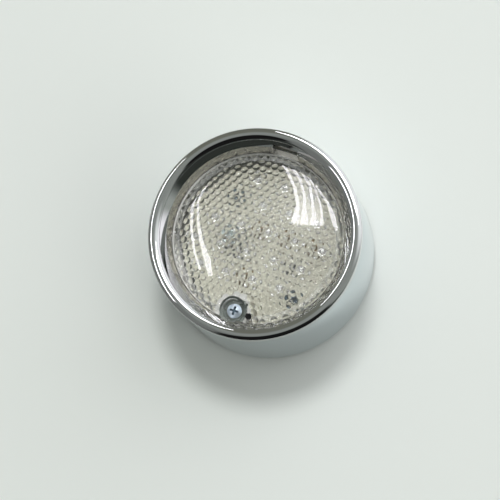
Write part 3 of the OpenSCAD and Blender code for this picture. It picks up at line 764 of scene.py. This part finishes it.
def make_diodes():
    """Black bodies with a grey ring."""
    outline = [(0, -2.6), (1.15, -2.6), (1.35, -2.4), (1.35, 1.3), (1.35, 2.0), (1.35, 2.4),
               (1.15, 2.6), (0, 2.6)]
    bands = [0, 0, 0, 1, 0, 0, 0]
    diodes = banded("diodes_banded", [bit_place(*place) for place in DIODES], outline, bands)
    finished(paint(smooth(diodes), diode_black, diode_band), "diode_resin", "diodes")


def make_capacitor():
    """A can with a groove near its foot, a sleeve up over its rim, and a scored metal top."""
    steps = 48
    outline = [(0, 0), (3.0, 0), (3.15, 0.15), (3.15, 0.95), (2.95, 1.17), (3.15, 1.4), (3.15, 6.75),
               (2.95, 7.0), (2.6, 7.0), (2.55, 6.93), (0, 6.93)]
    sleeve_bands = 8
    verts, faces = turned(outline, steps, (*CAPACITOR, BOARD_Z))
    marks = [0 if k // steps < sleeve_bands else 1 for k in range(len(faces))]
    capacitor = piece("capacitor_can", verts, faces, marks)
    x, y = CAPACITOR
    for a, b in ((1.5, 0.12), (0.12, 1.5)):
        cut(capacitor, box("score", (x - a, y - b, BOARD_Z + 6.8), (x + a, y + b, BOARD_Z + 8)))
    finished(paint(smooth(capacitor), blue_sleeve, can_top), "capacitor_sleeve", "capacitor")


# Screws

def crown_at(r, head_r, head_h):
    """Height of a pan head's crowned top over its seat, at a distance from its axis."""
    rise = head_h - head_h * HEAD_EDGE_SHARE
    crown = (head_r ** 2 + rise ** 2) / (2 * rise)
    return head_h - crown + math.sqrt(crown * crown - r * r)


def pan_head(at, seat, head, shank):
    """A pan-head screw with a tapered cross recess."""
    head_r, head_h = head
    shank_r, shank_l = shank
    edge = head_h * HEAD_EDGE_SHARE
    outline = [(r, crown_at(r, *head)) for r in np.linspace(0, head_r - 0.25, 14)]
    outline += [(head_r - 0.06, edge + 0.16), (head_r, edge), (head_r, 0.12), (head_r - 0.12, 0),
                (shank_r, 0), (shank_r, 0.3 - shank_l), (shank_r - 0.3, -shank_l), (0, -shank_l)]
    screw = piece("screw", *turned(outline, 64, (*at, seat)))
    span = head_r * CROSS_SHARE
    arm = head_r * CROSS_ARM_SHARE
    floor_z = head_h - head_h * CROSS_DEPTH_SHARE
    floor_half = (span * CROSS_FLOOR_LENGTH, arm * CROSS_FLOOR_WIDTH)
    layers = ((floor_half, floor_z), ((span, arm), head_h + OVERLAP))
    signs = ((-1, -1), (1, -1), (1, 1), (-1, 1))
    box_faces = box_mesh((0, 0, 0), (1, 1, 1))[1]
    for flip in (False, True):
        verts = [(sx * half[0], sy * half[1], z) for half, z in layers for sx, sy in signs]
        if flip:
            verts = [(y, x, z) for x, y, z in verts]
        verts = [(x + at[0], y + at[1], z + seat) for x, y, z in verts]
        cut(screw, piece("recess", verts, box_faces))
    return screw


def finish_screws(screws, name, places, seat, head, metal_of_head, node):
    """Names one or more screws made as one piece, with painted shade, a darker zinc, in their crosses."""
    screws.name = name

    # Faces inside a cross recess, which get the painted shade
    def in_shaded_cross(x, y, z):
        off = min(math.dist((x, y), at) for at in places)
        return off < head[0] * CROSS_SHADE_SHARE and 0.2 < z - seat < crown_at(off, *head) - 0.06

    mark(screws, in_shaded_cross)
    finished(paint(smooth(screws), metal_of_head, zinc_painted_shade), "zinc_steel", node)


def make_screws():
    """The screw of the lens, and the pair that holds the board."""
    well_floor_z = below(WELL_FLOOR_DEPTH)
    lens_screw = pan_head(WELL, well_floor_z, LENS_HEAD, LENS_SHANK)
    finish_screws(lens_screw, "lens_screw_fine", [WELL], well_floor_z, LENS_HEAD, zinc, "lens_screw")
    first, second = [pan_head(at, BOARD_Z, BOARD_HEAD, BOARD_SHANK) for at in BOARD_SCREWS]
    combine(first, second, "UNION")
    finish_screws(first, "board_screws_fine", BOARD_SCREWS, BOARD_Z, BOARD_HEAD, dull_zinc, "board_screws")


make_bezel()
make_housing()
make_lens()
make_leds()
make_resistors()
make_diodes()
make_capacitor()
make_screws()

# CAD nodes that are kept, each with its material
for name, mat in (("lens_gasket", silicone), ("lens_screw_insert", brass), ("vent_plug", vent_rubber),
                  ("circuit_board", board_material()), ("led_wires", tin), ("resistor_wires", tin),
                  ("diode_wires", tin), ("capacitor_wires", tin), ("wiring_socket", nylon),
                  ("socket_contacts", tin), ("board_posts", brass), ("cable_grommet", rubber),
                  ("mounting_nuts", zinc), ("mounting_pad", rubber)):
    paint(nodes[name], mat)


# Camera

# How far the photograph's right-hand side is turned from +X, in degrees
TURN = 18.5
# The camera stands off the lamp's axis by TILT, on a side that lies ROLL below the photograph's right
TILT = math.radians(13.5)
ROLL = math.radians(51.4)
# Distance of the camera, and how far its aim lies left of and below the lip's centre, in metres
CAMERA_AWAY = 1.8
AIM_LEFT = 0.00194
AIM_DOWN = 0.00771
CAMERA_LENS = 280.6


def make_camera():
    """The photograph's view."""
    away = math.radians(TURN) - ROLL
    side_way = away - math.pi / 2
    toward = Vector((math.sin(TILT) * math.cos(away), math.sin(TILT) * math.sin(away), math.cos(TILT)))
    lean = Vector((math.cos(TILT) * math.cos(away), math.cos(TILT) * math.sin(away), -math.sin(TILT)))
    side = Vector((math.cos(side_way), math.sin(side_way), 0))
    right = math.cos(ROLL) * lean - math.sin(ROLL) * side
    down = math.sin(ROLL) * lean + math.cos(ROLL) * side
    aim = Vector((0, 0, RIM_TOP * 0.001)) - right * AIM_LEFT + down * AIM_DOWN
    camera = bpy.data.objects.new("camera", bpy.data.cameras.new("camera"))
    bpy.context.scene.collection.objects.link(camera)
    camera.data.lens = CAMERA_LENS
    camera.data.sensor_width = 36.0
    camera.data.clip_start = 0.05
    camera.data.clip_end = 50.0
    facing = Matrix((right, -down, toward)).transposed().to_4x4()
    camera.matrix_world = Matrix.Translation(aim + toward * CAMERA_AWAY) @ facing
    bpy.context.scene.camera = camera


# Table

def make_table():
    """A plain pale table that the lamp lies on."""
    reach = 4000
    corners = [(-reach, -reach, 0), (reach, -reach, 0), (reach, reach, 0), (-reach, reach, 0)]
    table = piece("floor", corners, [(0, 1, 2, 3)])
    paint(table, surface("table", (0.83, 0.865, 0.835), (0.82, 0.855, 0.825), (0.5, 0.6), 3.0))


# Windows, seen only in what mirrors them and through what is clear

def toward_sky(x, y):
    """Direction x degrees to the right and y degrees down in the photograph from the lamp's axis."""
    off = math.radians(math.hypot(x, y))
    around = math.radians(TURN) - math.atan2(y, x)
    return Vector((math.sin(off) * math.cos(around), math.sin(off) * math.sin(around), math.cos(off)))


def sky_place(way, off):
    """The same direction from an angle round the photograph, clockwise from its right, and one off
    the lamp's axis."""
    return toward_sky(off * math.cos(math.radians(way)), off * math.sin(math.radians(way)))


def glow(name, strength, colour):
    """A material that only gives light."""
    mat = bpy.data.materials.new(name)
    mat.use_nodes = True
    tree = mat.node_tree
    tree.nodes.clear()
    shader = tree.nodes.new("ShaderNodeEmission")
    shader.inputs["Color"].default_value = (*colour, 1)
    shader.inputs["Strength"].default_value = strength
    end = tree.nodes.new("ShaderNodeOutputMaterial")
    tree.links.new(shader.outputs["Emission"], end.inputs["Surface"])
    return mat


def ribbon(name, line, mat, reach):
    """A band of light along a line of (x, y, width) in degrees, at a distance from the lamp."""
    line = np.array(line, float)
    stretch_steps = 4
    steps = np.linspace(0, len(line) - 1, stretch_steps * (len(line) - 1) + 1)
    fine = np.array([[np.interp(s, range(len(line)), line[:, k]) for k in range(3)] for s in steps])
    ways = np.gradient(fine[:, :2], axis=0)
    verts = []
    for (x, y, width), (dx, dy) in zip(fine, ways):
        size = math.hypot(dx, dy)
        for sign in (-1, 1):
            across = width / 2 * sign / size
            verts.append(tuple(toward_sky(x - dy * across, y + dx * across) * reach))
    faces = [(2 * k, 2 * k + 1, 2 * k + 3, 2 * k + 2) for k in range(len(fine) - 1)]
    made = piece(name, verts, faces)
    made.data.materials.append(mat)
    made.visible_camera = False
    made.visible_shadow = False
    made.visible_diffuse = False


def make_windows():
    """Strips of window light, with a weaker haze behind those at the right."""
    window_reach = 2600.0
    low_haze_reach = 2650.0
    haze_reach = 2700.0
    pane = glow("pane", 15.0, (1.0, 0.98, 1.03))
    left_pane = glow("left_pane", 13.0, (0.99, 0.98, 1.02))
    haze = glow("haze", 4.5, (1.0, 1.0, 1.0))
    low_haze = glow("low_haze", 6.5, (1.0, 1.0, 1.0))
    ribbon("haze_right", [(5, -52, 4), (12, -40, 8), (16, -30, 10), (17.5, -22, 13), (18, -15.5, 15)],
           haze, haze_reach)
    ribbon("haze_low", [(16.5, -28, 1), (17.2, -24, 6), (17.8, -19, 11), (18, -16, 9)],
           low_haze, low_haze_reach)
    right_windows = (
        ("window_1", [(-1, -54, 1.4), (5, -45, 1.5), (10, -35, 1.4), (12, -26, 1.6), (11, -16.5, 4.0)]),
        ("window_2", [(3, -53, 1.3), (12, -40, 1.2), (15, -31, 1.3), (15.3, -24, 2.0), (15.5, -16, 4.2)]),
        ("window_3", [(9, -50, 1.3), (17, -37, 1.2), (19, -28, 1.2), (20, -21, 2.0), (19.8, -16, 3.6)]),
        ("window_4", [(13, -47, 1.1), (20, -35, 0.9), (23, -26.5, 1.1), (24, -21, 1.3), (24, -16, 1.8)]),
        ("window_5", [(20, -37, 0.8), (26.5, -28, 1.4), (29.5, -21, 2.8), (31.5, -14, 1.4)]))
    for name, line in right_windows:
        ribbon(name, line, pane, window_reach)
    left_windows = (
        ("window_6", [(-38, -36, 1.8), (-41, -27, 1.7), (-41, -15.5, 1.3), (-39.5, -5, 1.2),
                      (-36.5, 5, 1.0)]),
        ("window_7", [(-34, -39, 1.6), (-38, -29.5, 1.4), (-37.5, -19, 1.3), (-35.5, -9, 2.0),
                      (-32.5, 1, 3.4), (-31, 8.5, 2.4)]))
    for name, line in left_windows:
        ribbon(name, line, left_pane, window_reach)


# Lamps

def lamp(name, way, off, wide, power, tint):
    """A round soft lamp over the table, at a place in the sky, seen by no mirror."""
    away = 2.6
    made = bpy.data.objects.new(name, bpy.data.lights.new(name, "AREA"))
    bpy.context.scene.collection.objects.link(made)
    made.data.shape = "DISK"
    made.data.size = wide
    made.data.energy = power
    made.data.color = tint
    spot = sky_place(way, off) * away
    made.matrix_world = Matrix.Translation(spot) @ spot.to_track_quat("Z", "Y").to_matrix().to_4x4()
    made.visible_camera = False
    made.visible_glossy = False


# Room

def patch(sky, sky_way, under, colour, way, off, reach, soft):
    """A round patch of the room over what lies under it, its size and soft edge in degrees."""
    near = sky.nodes.new("ShaderNodeVectorMath")
    near.operation = "DOT_PRODUCT"
    near.inputs[1].default_value = sky_place(way, off)
    sky.links.new(sky_way, near.inputs[0])
    edge = sky.nodes.new("ShaderNodeMapRange")
    edge.interpolation_type = "SMOOTHSTEP"
    edge.inputs["From Min"].default_value = math.cos(math.radians(reach + soft))
    edge.inputs["From Max"].default_value = math.cos(math.radians(reach - soft))
    sky.links.new(near.outputs["Value"], edge.inputs["Value"])
    blend = sky.nodes.new("ShaderNodeMix")
    blend.data_type = "RGBA"
    blend.inputs["B"].default_value = (*colour, 1)
    sky.links.new(edge.outputs["Result"], blend.inputs["Factor"])
    sky.links.new(under, blend.inputs["A"])
    return blend.outputs["Result"]


def make_room():
    """A grey room with lighter and darker patches, for the chrome to reflect."""
    world = bpy.data.worlds.new("world")
    bpy.context.scene.world = world
    world.use_nodes = True
    sky = world.node_tree
    sky_way = sky.nodes.new("ShaderNodeTexCoord").outputs["Generated"]
    split = sky.nodes.new("ShaderNodeSeparateXYZ")
    ramp = sky.nodes.new("ShaderNodeValToRGB")
    sky.links.new(sky_way, split.inputs["Vector"])
    sky.links.new(split.outputs["Z"], ramp.inputs["Fac"])
    horizon, zenith = ramp.color_ramp.elements
    horizon.position = 0.0
    horizon.color = (0.44, 0.47, 0.44, 1)
    zenith.position = 0.9
    zenith.color = (0.34, 0.36, 0.34, 1)
    patches = (((1.2, 1.23, 1.23), -45, 58, 34, 12),
               ((1.35, 1.32, 1.38), -30, 95, 34, 8),
               ((0.21, 0.215, 0.18), -110, 60, 34, 12),
               ((0.23, 0.24, 0.23), 155, 62, 42, 14),
               ((0.04, 0.045, 0.04), 78, 92, 55, 8),
               ((0.012, 0.012, 0.012), 84, 48, 31, 3))
    seen = ramp.outputs["Color"]
    for colour, way, off, reach, soft in patches:
        seen = patch(sky, sky_way, seen, colour, way, off, reach, soft)
    sky.links.new(seen, sky.nodes["Background"].inputs["Color"])


make_camera()
make_table()
make_windows()
lamp("key", -82, 20, 0.55, 23.5, (0.99, 1.0, 1.0))
lamp("fill", -60, 5, 3.0, 8, (1.0, 1.0, 0.96))
lamp("low_fill", 35, 50, 1.6, 10, (1.0, 1.0, 0.97))
make_room()
bpy.context.scene.view_settings.view_transform = "Standard"
